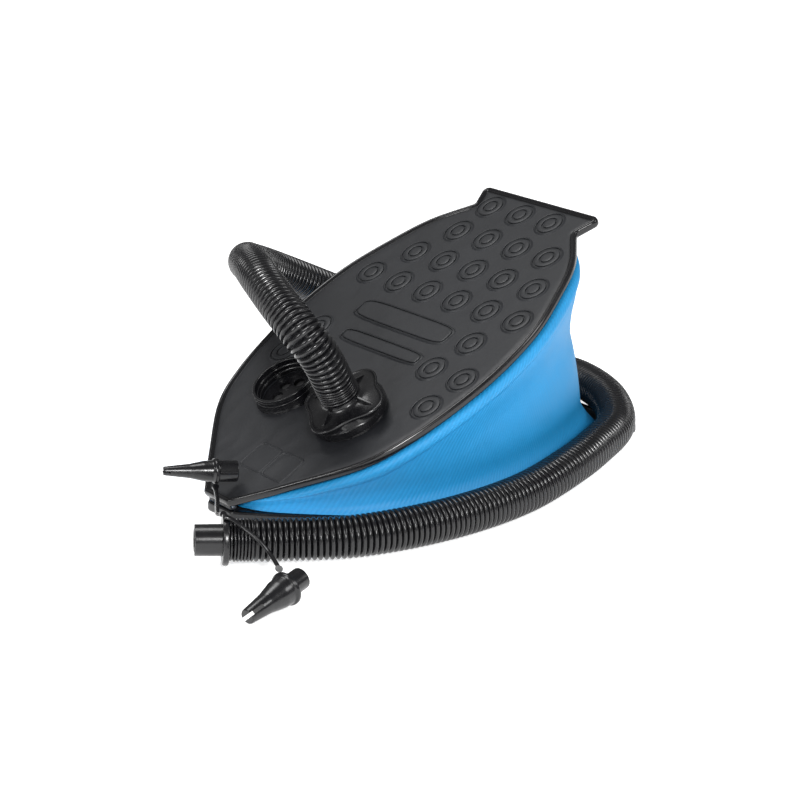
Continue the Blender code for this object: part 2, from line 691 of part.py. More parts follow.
# ---- the whole pump --------------------------------------------------------------------------------
def add_axis(name, location, parent, collection):
    """An empty that marks an axis, for the pieces that sit on it."""
    axis = bpy.data.objects.new(name, None)
    collection.objects.link(axis)
    axis.parent = parent
    axis.location = location
    return axis


def main():
    """Clear the scene's objects and build the pump."""
    for old in list(bpy.data.objects):
        bpy.data.objects.remove(old, do_unlink=True)
    parts = bpy.data.collections.new(COLLECTION)
    cutters = bpy.data.collections.new("cutters")
    for collection in (parts, cutters):
        bpy.context.scene.collection.children.link(collection)

    plate_black = plastic("plate_black", (0.040, 0.041, 0.045), 0.45)
    hose_black = plastic("hose_black", (0.022, 0.022, 0.024), 0.35)
    blue_fabric = plastic("blue_fabric", (0.020, 0.260, 0.620), 0.75)
    flap_rubber = plastic("flap_rubber", (0.050, 0.050, 0.050), 0.70)
    spring_steel = plastic("spring_steel", (0.560, 0.560, 0.580), 0.30, 1.0)

    pedal = add_axis("pedal_axis", (HINGE_X, 0, HINGE_Z), None, parts)
    pedal.rotation_euler = (0, -OPEN_ANGLE, 0)
    intake = add_axis("intake_axis", (PORT_U, PORT_V, 0), pedal, parts)
    outlet = add_axis("outlet_axis", (PORT_U, -PORT_V, 0), pedal, parts)

    make_base(parts, cutters, plate_black)
    make_hinge_pin(parts, spring_steel)
    make_bellows(parts, blue_fabric)
    make_seam_bands(parts, pedal, plate_black)
    make_spring_seats(parts, pedal, plate_black)
    make_return_spring(parts, spring_steel)
    make_top_plate(parts, cutters, pedal, plate_black)
    make_neck("intake_neck", NECK_TOP, parts, intake, plate_black)
    make_neck("outlet_neck", NECK_TOP, parts, outlet, plate_black)
    make_valve_seat("intake_valve_seat", parts, cutters, intake, hose_black)
    make_valve_seat("outlet_valve_seat", parts, cutters, outlet, hose_black)
    below = VALVE_SEAT_BOTTOM - GAP - FLAP_THICKNESS / 2
    above = VALVE_SEAT_BOTTOM + VALVE_SEAT_THICKNESS + GAP + FLAP_THICKNESS / 2
    make_flap("intake_flap", below, parts, intake, flap_rubber)
    make_flap("outlet_flap", above, parts, outlet, flap_rubber)
    make_connector(parts, cutters, outlet, hose_black)
    make_gasket(parts, outlet, flap_rubber)
    end, along = make_hose(parts, hose_black)
    make_hose_end(parts, end, along, hose_black)
    make_nozzle("nozzle_tapered", TAPERED_NOZZLE, parts, cutters, hose_black)
    make_nozzle("nozzle_forked", FORKED_NOZZLE, parts, cutters, hose_black)
    make_straps(parts, hose_black)


main()
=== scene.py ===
"""The foot air pump's visible pieces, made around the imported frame. Metres, +Z up.

The base stands on z = 0 with its toe at -X. What sits on the pedal is made flat, in the pedal's own
frame (u along the plate, v across it, h above the hinge axis), and is then tilted with the pedal.
"""
import json
import math

import bmesh
import bpy
import numpy as np
from mathutils import Matrix, Vector, noise
from mathutils.kdtree import KDTree


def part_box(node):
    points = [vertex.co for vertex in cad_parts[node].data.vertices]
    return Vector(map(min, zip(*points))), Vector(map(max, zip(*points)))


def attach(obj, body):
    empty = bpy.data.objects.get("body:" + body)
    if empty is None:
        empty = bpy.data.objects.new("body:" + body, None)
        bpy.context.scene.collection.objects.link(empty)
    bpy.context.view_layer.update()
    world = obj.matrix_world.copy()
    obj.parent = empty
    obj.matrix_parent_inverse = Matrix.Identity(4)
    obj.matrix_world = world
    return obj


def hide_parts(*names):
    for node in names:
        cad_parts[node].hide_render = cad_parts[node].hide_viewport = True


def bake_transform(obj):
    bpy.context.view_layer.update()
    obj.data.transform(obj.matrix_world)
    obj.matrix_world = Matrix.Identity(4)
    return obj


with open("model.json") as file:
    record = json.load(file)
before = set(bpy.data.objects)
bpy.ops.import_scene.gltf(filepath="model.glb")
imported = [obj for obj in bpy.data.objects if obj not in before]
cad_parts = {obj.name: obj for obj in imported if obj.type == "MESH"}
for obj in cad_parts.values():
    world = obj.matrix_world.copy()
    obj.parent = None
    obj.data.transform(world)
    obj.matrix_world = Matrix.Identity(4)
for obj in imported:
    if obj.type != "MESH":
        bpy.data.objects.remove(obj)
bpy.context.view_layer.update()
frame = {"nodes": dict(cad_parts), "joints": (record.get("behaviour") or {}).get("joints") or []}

# ---- sizes that the frame gives --------------------------------------------------------------------
JOINTS = {joint["name"]: joint for joint in frame["joints"]}
HINGE = Vector(JOINTS["pedal_hinge"]["pos_m"])
OUTLET_AXIS = Vector(JOINTS["connector_turn"]["axis"])
OPEN_ANGLE = math.atan2(-OUTLET_AXIS.x, OUTLET_AXIS.z)
PEDAL = Matrix.Translation(HINGE) @ Matrix.Rotation(-OPEN_ANGLE, 4, "Y")
OUTLET = PEDAL.inverted() @ Vector(JOINTS["connector_turn"]["pos_m"])
INTAKE = Vector((OUTLET.x, -OUTLET.y, 0))
BASE_BOX = [Vector(corner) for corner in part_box("base_plate")]
TOE_X = BASE_BOX[0].x
PLATE_LENGTH = BASE_BOX[1].x - TOE_X
TOE_U = TOE_X - HINGE.x

# ---- sizes shared with the CAD parts ---------------------------------------------------------------
MM = 0.001
GAP = 0.0003
# (distance from the toe, half width) of the leaf between its toe and the neck of its tail tab
LEAF_SIDE = [
    (0.0195, 0.0330), (0.056, 0.0690), (0.084, 0.0830), (0.118, 0.0907),
    (0.151, 0.0932), (0.185, 0.0897), (0.216, 0.0790), (0.241, 0.0667), (0.2635, 0.0465),
]
TOE_HALF_WIDTH = 0.0115
TAB_HALF_WIDTH = 0.0516
TAB_CORNER_RADIUS = 0.004
# the same for the footprint of the bellows
CHAMBER_SIDE = [
    (0.0085, 0.0), (0.0095, 0.0120), (0.0205, 0.0315), (0.056, 0.0668), (0.084, 0.0808),
    (0.118, 0.0885), (0.151, 0.0910), (0.185, 0.0875), (0.216, 0.0768), (0.2385, 0.0635),
    (0.254, 0.0440), (0.2605, 0.0230), (0.262, 0.0),
]
BASE_TOP = 0.0060
BASE_FLOOR = 0.0030
PEDAL_UNDER = 0.0016
TREAD_LEVEL = 0.0056
BELLOWS_WAIST = 0.118
PORT_HOLE_RADIUS = 0.0173
NECK_OUTER = 0.0203
NECK_INNER = 0.0179
NECK_TOP = 0.0146
LOBE_TURN = math.radians(14)
STUB_TOP = 0.0222

HOSE_RADIUS = 0.0119
HOSE_LEAD = 0.005
HOSE_STEPS = 40
# the hose's centre line: (distance from the toe, across, height), from the connector to the free end
HOSE_ROUTE = [
    (0.0517, -0.0318, 0.0915), (0.044, -0.025, 0.106), (0.0445, -0.003, 0.118), (0.052, 0.026, 0.126),
    (0.067, 0.057, 0.125), (0.087, 0.088, 0.116), (0.117, 0.109, 0.102), (0.160, 0.113, 0.080),
    (0.201, 0.112, 0.058), (0.238, 0.104, 0.036), (0.271, 0.084, 0.0185), (0.2900, 0.0505, 0.0145),
    (0.2870, 0.0105, 0.0180), (0.2705, -0.034, 0.0194), (0.2415, -0.0715, 0.0194), (0.207, -0.0905, 0.0182),
    (0.175, -0.1020, 0.0162), (0.139, -0.1090, 0.0128), (0.100, -0.1120, 0.0121), (0.060, -0.1085, 0.0120),
    (0.022, -0.0975, 0.0121), (-0.0102, -0.0783, 0.0127), (-0.0345, -0.0641, 0.0145),
]
# the hose's smooth free end, its tether ring and the straps to the nozzles
HOSE_END_LENGTH = 0.0203
HOSE_END_RADIUS = 0.0087
HOSE_END_BORE = 0.0067
TETHER_RING_OUTER = 0.0140
STRAP_RADIUS = 0.0009
STRAP_ROUTES = {
    "upper": [
        (-0.0322, -0.0530, 0.0255), (-0.0313, -0.0460, 0.0233), (-0.0236, -0.0340, 0.0212),
        (-0.0154, -0.0220, 0.0203), (-0.0098, -0.0130, 0.0203), (-0.0060, -0.0064, 0.0213),
    ],
    "lower": [
        (-0.0396, -0.0657, 0.0297), (-0.0370, -0.0690, 0.0284), (-0.0345, -0.0740, 0.0254),
        (-0.0318, -0.0840, 0.0206), (-0.0316, -0.0940, 0.0164), (-0.0350, -0.1050, 0.0149),
        (-0.0397, -0.1150, 0.0155), (-0.0462, -0.1244, 0.0203),
    ],
}
# the middle of each nozzle's socket mouth, the point its tip reaches, and the radii of its flange and tip
TAPERED_NOZZLE = (Vector((TOE_X + 0.0079, -0.0080, 0.0279)), Vector((TOE_X - 0.0312, 0.0080, 0.0329)),
                  0.0074, 0.0025)
FORKED_NOZZLE = (Vector((TOE_X - 0.0328, -0.1252, 0.0117)), Vector((TOE_X - 0.0748, -0.1355, 0.0050)),
                 0.0095, 0.0042)

# ---- the camera ------------------------------------------------------------------------------------
CAMERA_AZIMUTH = math.radians(-38.0)
CAMERA_ELEVATION = math.radians(18.91)
CAMERA_ROLL = math.radians(-0.86)
CAMERA_DISTANCE = 1.4348
CAMERA_TARGET = Vector((-0.00777, 0, 0.0406))
CAMERA_LENS = 108


def make_camera():
    """The camera, low and to the left, looking at the pedal's near side."""
    data = bpy.data.cameras.new("camera")
    data.lens = CAMERA_LENS
    data.clip_end = 20
    camera = bpy.data.objects.new("camera", data)
    bpy.context.scene.collection.objects.link(camera)
    level = math.cos(CAMERA_ELEVATION)
    back = Vector((
        math.sin(CAMERA_AZIMUTH) * level, -math.cos(CAMERA_AZIMUTH) * level, math.sin(CAMERA_ELEVATION)
    ))
    turn = back.to_track_quat("Z", "Y").to_matrix().to_4x4() @ Matrix.Rotation(CAMERA_ROLL, 4, "Z")
    camera.matrix_world = Matrix.Translation(CAMERA_TARGET + back * CAMERA_DISTANCE) @ turn
    bpy.context.scene.camera = camera


# ---- paths and outlines ----------------------------------------------------------------------------
def smooth_path(points, steps):
    """A Catmull-Rom curve through the points, with `steps` pieces between each two."""
    points = [Vector(point) for point in points]
    ends = [points[0] * 2 - points[1]] + points + [points[-1] * 2 - points[-2]]
    path = []
    for index in range(1, len(ends) - 2):
        before, start, end, after = ends[index - 1:index + 3]
        for step in range(steps):
            t = step / steps
            path.append(
                start
                + (end - before) * (t / 2)
                + (before * 2 - start * 5 + end * 4 - after) * (t * t / 2)
                + (start * 3 - before - end * 3 + after) * (t ** 3 / 2)
            )
    path.append(points[-1])
    return np.array(path)


def reach_along(path):
    """The distance from the path's start to each of its points."""
    steps = np.linalg.norm(np.diff(path, axis=0), axis=1)
    return np.concatenate([[0.0], np.cumsum(steps)])


def at(path, reach, distances):
    """The path's points at some distances from its start."""
    return np.stack([np.interp(distances, reach, path[:, axis]) for axis in range(path.shape[1])], axis=1)


def mirrored(half, count):
    """A closed outline from its +Y half, which runs toe to tail, with `count` pieces a side."""
    reach = reach_along(half)
    half = at(half, reach, np.linspace(0, reach[-1], count + 1))
    half[0, 1] = 0
    half[-1, 1] = 0
    other = half[-2:0:-1] * (1, -1)
    return np.concatenate([half, other])


def leaf_outline(count):
    """The plates' outline, measured from the toe."""
    side = smooth_path(LEAF_SIDE, 20)
    half = [(0, 0), (0, TOE_HALF_WIDTH)] + side.tolist()
    corner = (PLATE_LENGTH - TAB_CORNER_RADIUS, TAB_HALF_WIDTH - TAB_CORNER_RADIUS)
    for turn in np.radians(np.linspace(110, 0, 12)):
        half.append((
            corner[0] + TAB_CORNER_RADIUS * math.cos(turn), corner[1] + TAB_CORNER_RADIUS * math.sin(turn)
        ))
    half.append((PLATE_LENGTH, 0))
    return mirrored(np.array(half), count)


def outward(outline, spread=2):
    """The unit normals of a closed outline, pointing out, evened over `spread` neighbours."""
    along = np.roll(outline, -1, axis=0) - np.roll(outline, 1, axis=0)
    normals = np.stack([-along[:, 1], along[:, 0]], axis=1)
    normals /= np.linalg.norm(normals, axis=1, keepdims=True)
    evened = sum(np.roll(normals, shift, axis=0) for shift in range(-spread, spread + 1))
    return evened / np.linalg.norm(evened, axis=1, keepdims=True)


def rounded(profile, radius, closed=False):
    """A profile with each corner rounded by about `radius`, or by what its shorter side leaves."""
    points = [Vector(point) for point in profile]
    soft = []
    for index, point in enumerate(points):
        if not closed and index in (0, len(points) - 1):
            soft.append(tuple(point))
            continue
        before = points[index - 1] - point
        after = points[(index + 1) % len(points)] - point
        start = point + before.normalized() * min(radius, before.length * 0.45)
        end = point + after.normalized() * min(radius, after.length * 0.45)
        for t in (0.0, 0.25, 0.5, 0.75, 1.0):
            soft.append(tuple(start * (1 - t) ** 2 + point * (2 * t * (1 - t)) + end * t ** 2))
    return soft


# ---- making meshes ---------------------------------------------------------------------------------
# in degrees: an edge that turns by more than this is drawn sharp
SHARP_EDGE = 40


def add_piece(name, mesh, sharp=SHARP_EDGE):
    """An object for a mesh, smooth but for edges that turn by more than `sharp` degrees."""
    shape = bmesh.new()
    shape.from_mesh(mesh)
    bmesh.ops.remove_doubles(shape, verts=shape.verts, dist=0.000002)
    bmesh.ops.dissolve_degenerate(shape, edges=shape.edges, dist=0.000001)
    bmesh.ops.recalc_face_normals(shape, faces=shape.faces)
    shape.to_mesh(mesh)
    shape.free()
    mesh.shade_smooth()
    mesh.set_sharp_from_angle(angle=math.radians(sharp))
    piece = bpy.data.objects.new(name, mesh)
    bpy.context.scene.collection.objects.link(piece)
    return piece


def grid_faces(count, around, ring, first=0):
    """The quads between `count` closed rows of `around` points each."""
    index = np.arange(count * around).reshape(count, around) + first
    if ring:
        index = np.concatenate([index, index[:1]])
    after = np.roll(index, -1, axis=1)
    return np.stack([index[:-1], after[:-1], after[1:], index[1:]], axis=-1).reshape(-1, 4).tolist()


def loft(name, rows, ring=False, capped=False, sharp=SHARP_EDGE):
    """A piece whose rows are closed loops; `ring` joins the last row to the first."""
    grid = np.array(rows, float)
    count, around = grid.shape[:2]
    faces = grid_faces(count, around, ring)
    if capped:
        faces.append(list(range(around)))
        faces.append(list(range((count - 1) * around, count * around)))
    mesh = bpy.data.meshes.new(name)
    mesh.from_pydata(grid.reshape(-1, 3).tolist(), [], faces)
    return add_piece(name, mesh, sharp)


def placed(piece, place):
    """Move a piece's mesh by a matrix, and leave its origin at the world's."""
    piece.data.transform(place)
    return piece


def turned(name, profile, place, steps=96, ring=True, sharp=SHARP_EDGE):
    """A turned piece from (radius, height) points, about the Z axis of `place`."""
    angles = np.linspace(0, 2 * math.pi, steps, endpoint=False)
    rows = []
    for radius, height in profile:
        rows.append(np.stack([
            radius * np.cos(angles), radius * np.sin(angles), np.full(steps, height)
        ], axis=1))
    return placed(loft(name, rows, ring=ring, sharp=sharp), place)


def aimed(start, towards):
    """A matrix with its origin at `start` and its Z axis pointing at `towards`."""
    turn = (Vector(towards) - Vector(start)).to_track_quat("Z", "Y").to_matrix().to_4x4()
    return Matrix.Translation(Vector(start)) @ turn


def carried(path, spread=1):
    """For each point of a path: its direction and two normals that don't twist."""
    along = np.roll(path, -spread, axis=0) - np.roll(path, spread, axis=0)
    along[:spread] = path[spread] - path[0]
    along[-spread:] = path[-1] - path[-1 - spread]
    along /= np.linalg.norm(along, axis=1, keepdims=True)
    side = np.cross(along[0], (0.0, 0.0, 1.0) if abs(along[0][2]) < 0.9 else (0.0, 1.0, 0.0))
    sides = []
    for direction in along:
        side = side - direction * side.dot(direction)
        side = side / np.linalg.norm(side)
        sides.append(side)
    sides = np.array(sides)
    return along, sides, np.cross(along, sides)


def tube(name, path, radii, around, flat=1.0):
    """A capped tube along a path, with a radius for each of its points."""
    _, side, up = carried(path, min(3, len(path) // 3))
    angles = np.linspace(0, 2 * math.pi, around, endpoint=False)
    rows = []
    for index, point in enumerate(path):
        ring = np.outer(np.cos(angles), side[index]) + np.outer(np.sin(angles), up[index]) * flat
        rows.append(point + ring * radii[index])
    return loft(name, rows, capped=True, sharp=60)


def joined(name, pieces):
    """One object from several that share a material."""
    mesh = bpy.data.meshes.new(name)
    shape = bmesh.new()
    for piece in pieces:
        shape.from_mesh(piece.data)
        bpy.data.objects.remove(piece)
    shape.to_mesh(mesh)
    shape.free()
    whole = bpy.data.objects.new(name, mesh)
    bpy.context.scene.collection.objects.link(whole)
    return whole


def cut(piece, cutters):
    """Cut closed pieces out of another, and drop them."""
    for cutter in cutters:
        modifier = piece.modifiers.new("cut", "BOOLEAN")
        modifier.operation = "DIFFERENCE"
        modifier.solver = "EXACT"
        modifier.object = cutter
    bpy.context.view_layer.update()
    result = bpy.data.meshes.new_from_object(piece.evaluated_get(bpy.context.evaluated_depsgraph_get()))
    piece.modifiers.clear()
    piece.data = result
    for cutter in cutters:
        bpy.data.objects.remove(cutter)
    return piece


def finished(piece, material, body, slot, *nodes):
    """Give a piece its material and body, and hide the CAD nodes that it stands for. The slot is not used.
    """
    piece.data.materials.clear()
    piece.data.materials.append(material)
    if body:
        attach(piece, body)
    if nodes:
        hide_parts(*nodes)
    return piece


# ---- materials -------------------------------------------------------------------------------------
class Nodes:
    """A material's node tree, with short ways to add nodes and links."""

    def __init__(self, name):
        self.material = bpy.data.materials.new(name)
        self.material.use_nodes = True
        self.tree = self.material.node_tree
        self.shader = self.tree.nodes["Principled BSDF"]

    def add(self, kind, **settings):
        """A node, with its properties or its inputs' values set by name."""
        node = self.tree.nodes.new(kind)
        for key, value in settings.items():
            if hasattr(node, key):
                setattr(node, key, value)
            else:
                node.inputs[key.replace("_", " ")].default_value = value
        return node

    def link(self, source, target):
        """Join an output to an input."""
        self.tree.links.new(source, target)

    def coordinates(self, kind="Object", turn=0.0, stretch=(1, 1, 1)):
        """Object or UV coordinates, turned about Z and stretched."""
        source = self.add("ShaderNodeTexCoord")
        mapping = self.add("ShaderNodeMapping")
        mapping.inputs["Rotation"].default_value = (0, 0, turn)
        mapping.inputs["Scale"].default_value = stretch
        self.link(source.outputs[kind], mapping.inputs["Vector"])
        return mapping.outputs["Vector"]

    def noise(self, vector, scale, detail=3.0, rough=0.5):
        """A noise value."""
        node = self.add("ShaderNodeTexNoise", Scale=scale, Detail=detail, Roughness=rough)
        self.link(vector, node.inputs["Vector"])
        return node.outputs["Fac"]

    def ramp(self, value, stops):
        """Colours or values along a 0 to 1 value."""
        node = self.add("ShaderNodeValToRGB")
        elements = node.color_ramp.elements
        while len(elements) < len(stops):
            elements.new(0.5)
        for element, (place, colour) in zip(elements, stops):
            element.position = place
            element.color = (*colour, 1)
        self.link(value, node.inputs["Fac"])
        return node.outputs["Color"]

    def range(self, value, low, high, start=0.3, end=0.7):
        """A value moved from one range to another."""
        node = self.add("ShaderNodeMapRange")
        node.inputs["From Min"].default_value = start
        node.inputs["From Max"].default_value = end
        node.inputs["To Min"].default_value = low
        node.inputs["To Max"].default_value = high
        self.link(value, node.inputs["Value"])
        return node.outputs["Result"]

    def bump(self, height, distance, strength=1.0, normal=None):
        """A bump from a height value."""
        node = self.add("ShaderNodeBump", Distance=distance, Strength=strength)
        self.link(height, node.inputs["Height"])
        if normal:
            self.link(normal, node.inputs["Normal"])
        return node.outputs["Normal"]


def shade_of(colour, factor):
    """A colour made lighter or darker."""
    return tuple(min(channel * factor, 1.0) for channel in colour)


def moulded_plastic(name, colour, gloss, grain=0.00004, ripple=0.00025, wear=1.5):
    """Moulded plastic: mottled tone, a leathery grain, scuffed edges and uneven gloss."""
    nodes = Nodes(name)
    place = nodes.coordinates()
    cloudy = nodes.noise(place, 22, 4, 0.6)
    tone = nodes.ramp(cloudy, [(0.30, shade_of(colour, 0.86)), (0.70, shade_of(colour, 1.16))])
    edge = nodes.add("ShaderNodeNewGeometry").outputs["Pointiness"]
    worn = nodes.range(edge, 0.0, 1.0, 0.54, 0.62)
    mix = nodes.add("ShaderNodeMix", data_type="RGBA")
    nodes.link(worn, mix.inputs["Factor"])
    nodes.link(tone, mix.inputs[6])
    mix.inputs[7].default_value = (*shade_of(colour, wear), 1)
    nodes.link(mix.outputs[2], nodes.shader.inputs["Base Color"])
    smear = nodes.noise(place, 90, 5, 0.65)
    nodes.link(nodes.range(smear, gloss - 0.05, gloss + 0.07), nodes.shader.inputs["Roughness"])
    fine = nodes.noise(place, 1200, 2, 0.5)
    broad = nodes.noise(place, 140, 3, 0.5)
    soft = nodes.bump(broad, ripple, 0.5)
    nodes.link(nodes.bump(fine, grain, 0.6, soft), nodes.shader.inputs["Normal"])
    return nodes.material


def twill_fabric(name, colour):
    """Coated twill: diagonal ribs over a fine cross weave, in a slightly uneven dye, with painted shade in
    the ribs' valleys.
    """
    nodes = Nodes(name)
    cloth = nodes.coordinates("UV", math.radians(TWILL_TURN))
    rib = nodes.add("ShaderNodeTexWave", Scale=TWILL_WAVES, Distortion=0.5, Detail=2.0, Detail_Scale=3.0)
    nodes.link(cloth, rib.inputs["Vector"])
    thread = nodes.add("ShaderNodeTexWave", Scale=TWILL_WAVES * 4.2, Distortion=0.8, Detail=1.0)
    thread.bands_direction = "Y"
    nodes.link(cloth, thread.inputs["Vector"])
    place = nodes.coordinates()
    dye = nodes.noise(place, 30, 3, 0.5)
    tone = nodes.ramp(dye, [(0.30, shade_of(colour, 0.95)), (0.70, shade_of(colour, 1.04))])
    # painted shade: the base colour is darkened in the valleys between the ribs
    rib_valley_shade = nodes.ramp(rib.outputs["Fac"], [(0.0, (0.88, 0.90, 0.92)), (0.6, (1.0, 1.0, 1.0))])
    mix = nodes.add("ShaderNodeMix", data_type="RGBA", blend_type="MULTIPLY")
    mix.inputs["Factor"].default_value = 1.0
    nodes.link(tone, mix.inputs[6])
    nodes.link(rib_valley_shade, mix.inputs[7])
    nodes.link(mix.outputs[2], nodes.shader.inputs["Base Color"])
    nodes.link(nodes.range(dye, 0.50, 0.62), nodes.shader.inputs["Roughness"])
    ribs = nodes.bump(rib.outputs["Fac"], 0.00016, 0.6)
    nodes.link(nodes.bump(thread.outputs["Fac"], 0.00005, 0.4, ribs), nodes.shader.inputs["Normal"])
    return nodes.material


def brushed_steel(name):
    """Drawn steel wire: fine streaks and a few dull patches."""
    nodes = Nodes(name)
    place = nodes.coordinates()
    streak = nodes.noise(nodes.coordinates(stretch=(1, 1, 8)), 700, 3, 0.6)
    patch = nodes.noise(place, 120, 3, 0.6)
    nodes.link(nodes.ramp(patch, [(0.3, (0.42, 0.43, 0.45)), (0.7, (0.62, 0.63, 0.65))]),
               nodes.shader.inputs["Base Color"])
    nodes.shader.inputs["Metallic"].default_value = 1.0
    nodes.link(nodes.range(streak, 0.22, 0.42), nodes.shader.inputs["Roughness"])
    nodes.link(nodes.bump(streak, 0.00003, 0.5), nodes.shader.inputs["Normal"])
    return nodes.material


PLATE_COLOUR = (0.011, 0.012, 0.0145)
RIM_COLOUR = (0.0045, 0.0045, 0.0055)
HOSE_COLOUR = (0.0045, 0.0045, 0.0055)
FABRIC_COLOUR = (0.007, 0.252, 0.550)
RUBBER_COLOUR = (0.020, 0.020, 0.021)
TWILL_TURN = -28
TWILL_WAVES = 150

# ---- the plates ------------------------------------------------------------------------------------
# the rolled rim, from the underside round to the tread: (distance in from the edge, height)
PEDAL_RIM = [
    (4.6, 1.6), (1.6, 1.6), (0.7, 1.75), (0.2, 2.3), (0.0, 3.2), (0.0, 4.6), (0.15, 5.5), (0.55, 6.2),
    (1.1, 6.55), (1.7, 6.6), (2.3, 6.35), (2.75, 5.9), (3.05, 5.45), (3.4, 5.2), (3.8, 5.25), (4.3, 5.5),
]
BASE_RIM = [
    (4.6, 0.0), (1.4, 0.0), (0.6, 0.15), (0.15, 0.7), (0.0, 1.5), (0.0, 4.3), (0.15, 5.1), (0.5, 5.7),
    (1.0, 5.95), (1.5, 6.0), (1.9, 5.85), (2.2, 5.55), (2.6, 5.35), (3.2, 5.35), (4.0, 5.5),
]
RIM_WIDTH = 0.0037
PLATE_PIECES = 230
TREAD_ROWS = 34
# the plates' faces are drawn in to a middle line that stops short of the toe and the tail
MIDDLE_FROM_TOE = 0.016
MIDDLE_FROM_TAIL = 0.030
POCKET_INSET = 0.007
POCKET_PIECES = 120


def tread_height(u, v):
    """The height of the pedal's tread: gently uneven, with soft creases towards the toe."""
    toe = max(0.0, 1.0 - abs(u - 0.045) / 0.060)
    slow = noise.noise(Vector((u * 22, v * 22, 0.7)))
    crease = 1.0 - abs(noise.noise(Vector((u * 42 + v * 18, v * 50 - u * 12, 3.1)))) * 2.2
    return TREAD_LEVEL + MM * (0.16 * slow + (0.06 + 0.34 * toe) * (crease - 0.5) * 0.8)


def plate_rows(outline, rim, level, under):
    """Rows over a leaf: up from the underside's middle line, round the rim, and in over the top."""
    normals = outward(outline)
    middle = np.zeros_like(outline)
    middle[:, 0] = np.clip(outline[:, 0], MIDDLE_FROM_TOE, PLATE_LENGTH - MIDDLE_FROM_TAIL)
    rows = []
    for share in np.linspace(1, 0, 6)[:-1]:
        inner = outline - normals * rim[0][0] * MM
        flat = inner + (middle - inner) * share
        rows.append(np.column_stack([flat, np.full(len(flat), under)]))
    for inset, height in rim:
        flat = outline - normals * inset * MM
        rows.append(np.column_stack([flat, np.full(len(flat), height * MM)]))
    inner = outline - normals * rim[-1][0] * MM
    for share in np.linspace(0, 1, TREAD_ROWS + 1)[1:]:
        flat = inner + (middle - inner) * share
        heights = [level(x, y, min(1.0, share * TREAD_ROWS / 2)) for x, y in flat]
        rows.append(np.column_stack([flat, heights]))
    return rows


def gloss_rim(mesh, outline, shift, material):
    """Give the faces of a plate's rolled rim a smoother finish than its tread."""
    mesh.materials.append(material)
    edge = KDTree(len(outline))
    for index, (x, y) in enumerate(outline):
        edge.insert((x + shift, y, 0), index)
    edge.balance()
    for polygon in mesh.polygons:
        centre = polygon.center
        if edge.find((centre.x, centre.y, 0))[2] < RIM_WIDTH:
            polygon.material_index = 1


def make_top_plate(material, rim_material):
    """The pedal: the leaf with its rolled rim, its uneven tread and the two port holes."""
    outline = leaf_outline(PLATE_PIECES)

    def level(x, y, ease):
        return rim_level + (tread_height(x + TOE_U, y) - rim_level) * ease

    rim_level = PEDAL_RIM[-1][1] * MM
    rows = plate_rows(outline, PEDAL_RIM, level, PEDAL_UNDER)
    plate = placed(loft("pedal_plate", rows, ring=False), Matrix.Translation((TOE_U, 0, 0)))
    holes = []
    for port in (INTAKE, OUTLET):
        profile = [(0, -0.005), (PORT_HOLE_RADIUS, -0.005), (PORT_HOLE_RADIUS, 0.02), (0, 0.02)]
        holes.append(turned("hole", profile, Matrix.Translation(port), ring=False))
    cut(plate, holes)
    plate.data.shade_smooth()
    plate.data.set_sharp_from_angle(angle=math.radians(SHARP_EDGE))
    finished(plate, material, "pedal", "plate_plastic", "top_plate")
    gloss_rim(plate.data, outline, TOE_U, rim_material)
    placed(plate, PEDAL)


def make_base_plate(material, rim_material):
    """The base: the same leaf with a lower rim, and the pocket that the bellows stands in."""
    outline = leaf_outline(PLATE_PIECES)
    chamber = chamber_outline(POCKET_PIECES)
    pocket = chamber - outward(chamber) * POCKET_INSET
    side = pocket[:POCKET_PIECES + 1]

    def level(x, y, ease):
        inside = x < pocket[:, 0].max() and abs(y) < np.interp(x, side[:, 0], side[:, 1])
        return BASE_FLOOR if inside and ease >= 1 else BASE_RIM[-1][1] * MM

    rows = plate_rows(outline, BASE_RIM, level, 0.0)
    plate = placed(loft("base_shell", rows), Matrix.Translation((TOE_X, 0, 0)))
    finished(plate, material, "base", "plate_plastic", "base_plate")
    gloss_rim(plate.data, outline, TOE_X, rim_material)


KNUCKLE_BORE = 0.0013
KNUCKLE_OUTER = 0.0026


def make_knuckles(material):
    """The hinge at the toe: two knuckles on the base, with the pedal's one between them."""
    turn = Matrix.Rotation(math.pi / 2, 4, "X")
    for name, body, spans in (
        ("base_knuckles", "base", ((-0.0106, -0.0054), (0.0054, 0.0106))),
        ("pedal_knuckle", "pedal", ((-0.0050, 0.0050),)),
    ):
        pieces = []
        for low, high in spans:
            profile = rounded([
                (KNUCKLE_BORE, -high), (KNUCKLE_OUTER, -high), (KNUCKLE_OUTER, -low), (KNUCKLE_BORE, -low),
            ], 0.0005, True)
            pieces.append(turned(name, profile, Matrix.Translation(HINGE) @ turn, 40))
        finished(joined(name, pieces), material, body, "plate_plastic")


# ---- the grip pattern ------------------------------------------------------------------------------
# a raised pad with grooves: (distance in from its edge, height over the tread), in millimetres
PAD_PROFILE = [
    (-0.9, -0.25), (-0.2, 0.10), (0.2, 0.48), (0.7, 0.74), (0.95, 0.68), (1.15, -0.14), (1.75, -0.14),
    (1.95, 0.68), (2.20, 0.82), (4.8, 0.86), (5.10, 0.76), (5.30, -0.14), (5.90, -0.14), (6.10, 0.76),
    (6.35, 0.86), (8.2, 0.92),
]
BAR_PROFILE = PAD_PROFILE[:9] + [(3.0, 0.84)]
FRAME_PROFILE = [(-0.7, -0.20), (-0.2, 0.42), (0.25, 0.60), (0.7, 0.42), (1.2, -0.25)]
TREAD_PITCH = (0.0258, 0.0274)
TREAD_HALF = (0.0102, 0.0100)
LAST_TREAD = 0.2645
